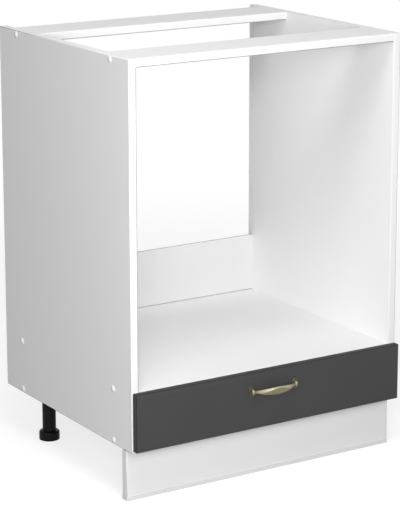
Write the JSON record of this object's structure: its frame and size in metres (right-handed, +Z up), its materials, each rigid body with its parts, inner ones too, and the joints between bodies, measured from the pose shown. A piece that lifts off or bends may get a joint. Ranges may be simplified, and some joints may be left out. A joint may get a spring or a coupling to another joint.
{
  "type": "oven base cabinet",
  "caption": "Floor cabinet that carries a built-in oven in an open niche above one shallow drawer, on adjustable legs with a plinth.",
  "frame": {"origin": "on the floor, at the middle of the overall width and depth", "axes": "+Z up, +X to the right as seen from the front, -Y out of the front: the drawer opens towards -Y"},
  "size_m": [0.6048, 0.535, 0.826],
  "materials": {
    "white_board": "white melamine-faced chipboard, satin",
    "white_hardboard": "white painted front, raw brown rear",
    "graphite_front": "matt graphite film on fibreboard",
    "antique_brass": "antique brass, darkened in the hollows",
    "zinc_steel": "zinc plated",
    "white_steel": "white powder coat",
    "white_nylon": "natural nylon",
    "white_cap": "glossy white",
    "black_plastic": "black, moulded, satin",
    "clear_seal": "clear greyish profile"
  },
  "bodies": {
    "carcass": {"left_side_panel": "white_board", "right_side_panel": "white_board", "bottom_panel": "white_board", "oven_shelf": "white_board", "front_top_rail": "white_board", "rear_top_rail": "white_board", "plinth_board": "white_board", "back_panel": "white_hardboard", "back_panel_nails": "zinc_steel", "carcass_screws": "zinc_steel", "cabinet_runner_screws": "zinc_steel", "cabinet_roller_axles": "zinc_steel", "leg_screws": "zinc_steel", "plinth_clip_screws": "zinc_steel", "screw_caps": "white_cap", "left_cabinet_runner": "white_steel", "left_plinth_clip": "black_plastic", "right_cabinet_runner": "white_steel", "right_plinth_clip": "black_plastic", "front_left_socket": "black_plastic", "front_left_column": "black_plastic", "front_right_socket": "black_plastic", "front_right_column": "black_plastic", "rear_left_socket": "black_plastic", "rear_left_column": "black_plastic", "rear_right_socket": "black_plastic", "rear_right_column": "black_plastic", "plinth_seal": "clear_seal"},
    "drawer": {"drawer_front": "graphite_front", "drawer_front_screws": "zinc_steel", "handle": "antique_brass", "handle_screws": "zinc_steel", "drawer_box_front": "white_board", "drawer_box_back": "white_board", "left_drawer_side": "white_board", "right_drawer_side": "white_board", "drawer_bottom": "white_hardboard", "drawer_bottom_nails": "zinc_steel", "drawer_box_screws": "zinc_steel", "left_drawer_runner": "white_steel", "right_drawer_runner": "white_steel", "drawer_runner_screws": "zinc_steel", "drawer_roller_axles": "zinc_steel"},
    "left_cabinet_roller": {"left_cabinet_roller": "white_nylon"},
    "right_cabinet_roller": {"right_cabinet_roller": "white_nylon"},
    "left_drawer_roller": {"left_drawer_roller": "white_nylon"},
    "right_drawer_roller": {"right_drawer_roller": "white_nylon"},
    "front_left_foot": {"front_left_foot": "black_plastic"},
    "front_right_foot": {"front_right_foot": "black_plastic"},
    "rear_left_foot": {"rear_left_foot": "black_plastic"},
    "rear_right_foot": {"rear_right_foot": "black_plastic"}
  },
  "joints": [
    {"name": "drawer_slide", "type": "slide", "parent": "carcass", "child": "drawer", "axis": [0, -1, 0], "range_m": [0, 0.345]},
    {"name": "left_cabinet_roller_spin", "type": "hinge", "parent": "carcass", "child": "left_cabinet_roller", "pos_m": [-0.2785, -0.2085, 0.1289], "axis": [1, 0, 0], "range_deg": [0, 1976.75]},
    {"name": "left_drawer_roller_spin", "type": "hinge", "parent": "drawer", "child": "left_drawer_roller", "pos_m": [-0.277, 0.2035, 0.1289], "axis": [1, 0, 0], "range_deg": [0, 1976.75]},
    {"name": "right_cabinet_roller_spin", "type": "hinge", "parent": "carcass", "child": "right_cabinet_roller", "pos_m": [0.2785, -0.2085, 0.1289], "axis": [1, 0, 0], "range_deg": [0, 1976.75]},
    {"name": "right_drawer_roller_spin", "type": "hinge", "parent": "drawer", "child": "right_drawer_roller", "pos_m": [0.277, 0.2035, 0.1289], "axis": [1, 0, 0], "range_deg": [0, 1976.75]},
    {"name": "front_left_foot_height", "type": "slide", "parent": "carcass", "child": "front_left_foot", "axis": [0, 0, -1], "range_m": [0, 0.02]},
    {"name": "front_right_foot_height", "type": "slide", "parent": "carcass", "child": "front_right_foot", "axis": [0, 0, -1], "range_m": [0, 0.02]},
    {"name": "rear_left_foot_height", "type": "slide", "parent": "carcass", "child": "rear_left_foot", "axis": [0, 0, -1], "range_m": [0, 0.02]},
    {"name": "rear_right_foot_height", "type": "slide", "parent": "carcass", "child": "rear_right_foot", "axis": [0, 0, -1], "range_m": [0, 0.02]}
  ],
  "couplings": [
    {"joint": "left_cabinet_roller_spin", "follows": "drawer_slide", "rad_per_m": 100},
    {"joint": "left_drawer_roller_spin", "follows": "drawer_slide", "rad_per_m": 100},
    {"joint": "right_cabinet_roller_spin", "follows": "drawer_slide", "rad_per_m": 100},
    {"joint": "right_drawer_roller_spin", "follows": "drawer_slide", "rad_per_m": 100}
  ]
}
